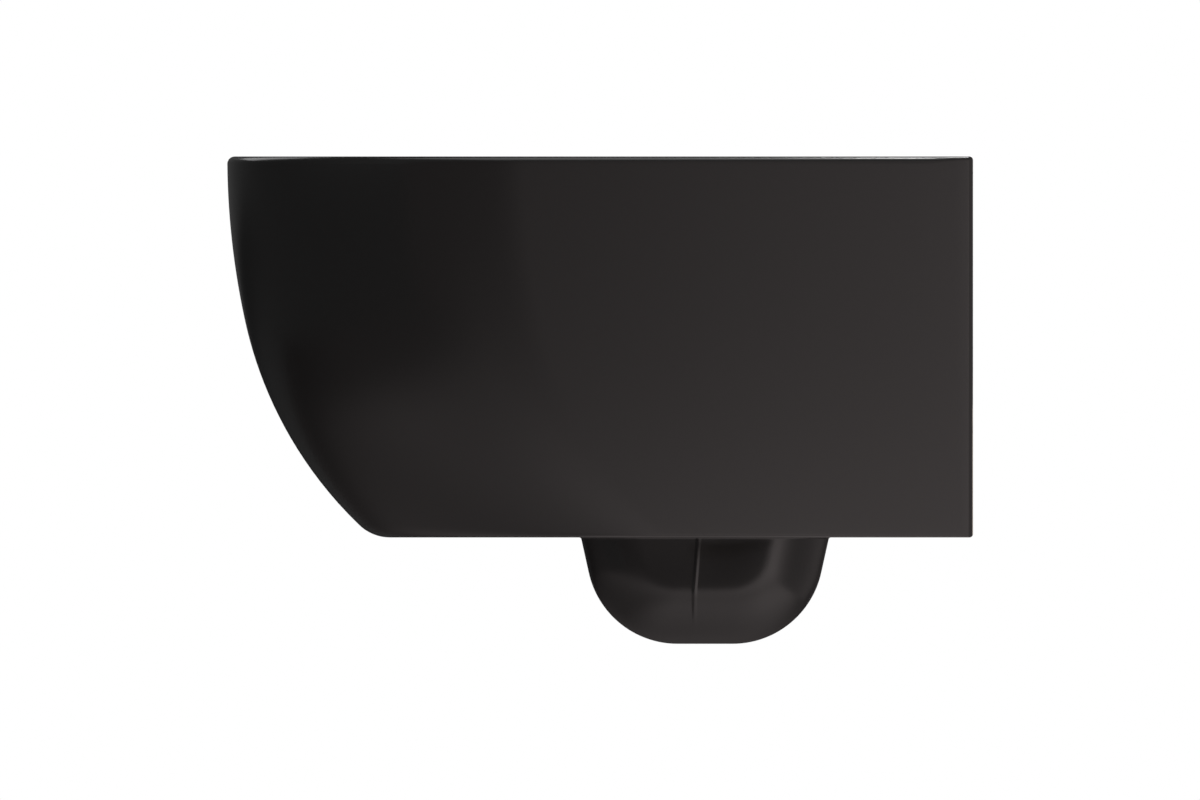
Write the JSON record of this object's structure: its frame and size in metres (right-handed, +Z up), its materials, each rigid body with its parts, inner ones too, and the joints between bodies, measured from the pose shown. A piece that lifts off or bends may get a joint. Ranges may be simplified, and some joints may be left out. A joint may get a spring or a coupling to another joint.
{
  "type": "wall hung toilet",
  "caption": "Black glazed wall hung toilet pan with a rounded front, open rimless bowl and hidden wall fixings, without seat.",
  "frame": {"origin": "on the wall plane, midway between the two wall studs", "axes": "+X to the right of someone facing the wall, +Y into the wall, +Z up"},
  "size_m": [0.3596, 0.505, 0.33],
  "materials": {
    "black_glaze": "gloss",
    "black_plastic": "satin",
    "rubber": "matte",
    "white_nylon": "satin",
    "zinc_steel": "satin"
  },
  "bodies": {
    "root": {"outer_shell": "black_glaze", "rim_deck": "black_glaze", "bowl": "black_glaze", "wall_plate": "black_glaze", "wall_rib_left": "black_glaze", "wall_rib_right": "black_glaze", "flush_inlet_socket": "black_glaze", "flush_channel": "black_glaze", "trap_front_half": "black_glaze", "trap_rear_half": "black_glaze", "waste_elbow": "black_glaze", "waste_spigot": "black_glaze", "fixing_boss_left": "black_glaze", "fixing_boss_right": "black_glaze", "flush_insert": "black_plastic", "insert_gasket": "rubber", "fixing_sleeve_left": "white_nylon", "fixing_washer_left": "zinc_steel", "fixing_nut_left": "zinc_steel", "fixing_sleeve_right": "white_nylon", "fixing_washer_right": "zinc_steel", "fixing_nut_right": "zinc_steel"}
  },
  "joints": []
}
